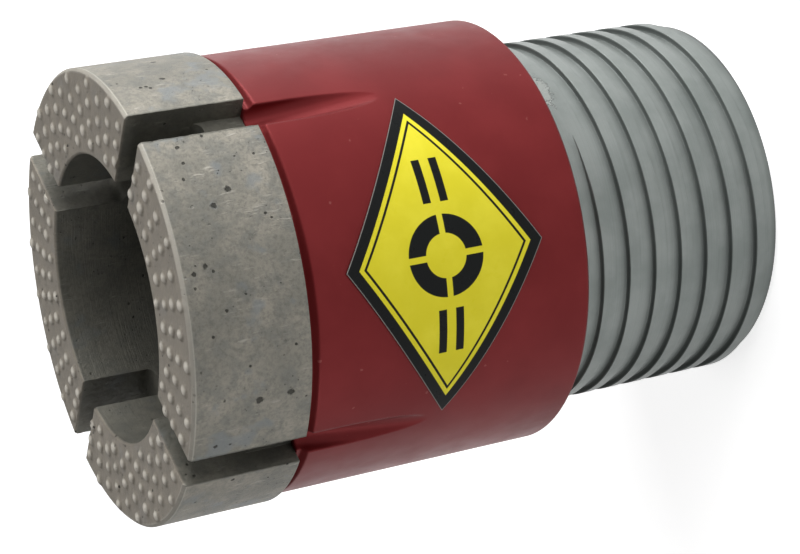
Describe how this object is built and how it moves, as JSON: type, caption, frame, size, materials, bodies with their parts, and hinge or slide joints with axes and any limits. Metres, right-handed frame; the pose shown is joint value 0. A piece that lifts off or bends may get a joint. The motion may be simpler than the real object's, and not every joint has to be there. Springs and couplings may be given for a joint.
{
  "type": "diamond core bit",
  "caption": "Ring-shaped drill bit with a studded segmented crown, painted steel body and male threaded shank, for cutting rock cores.",
  "frame": {"origin": "centre of the shank's end face, which the bit stands on", "axes": "+Z along the bit's axis from the shank towards the cutting face; one waterway slot lies on each of +X, +Y, -X and -Y"},
  "size_m": [0.075, 0.075, 0.111],
  "materials": {
    "painted_steel": "satin red paint on the body, bare machined steel on the threaded shank",
    "matrix": "dull sintered metal matrix with fine pores",
    "label_film": "printed vinyl film, yellow with a dark border"
  },
  "bodies": {
    "root": {"blank": "painted_steel", "crown": "matrix", "label": "label_film"}
  },
  "joints": []
}
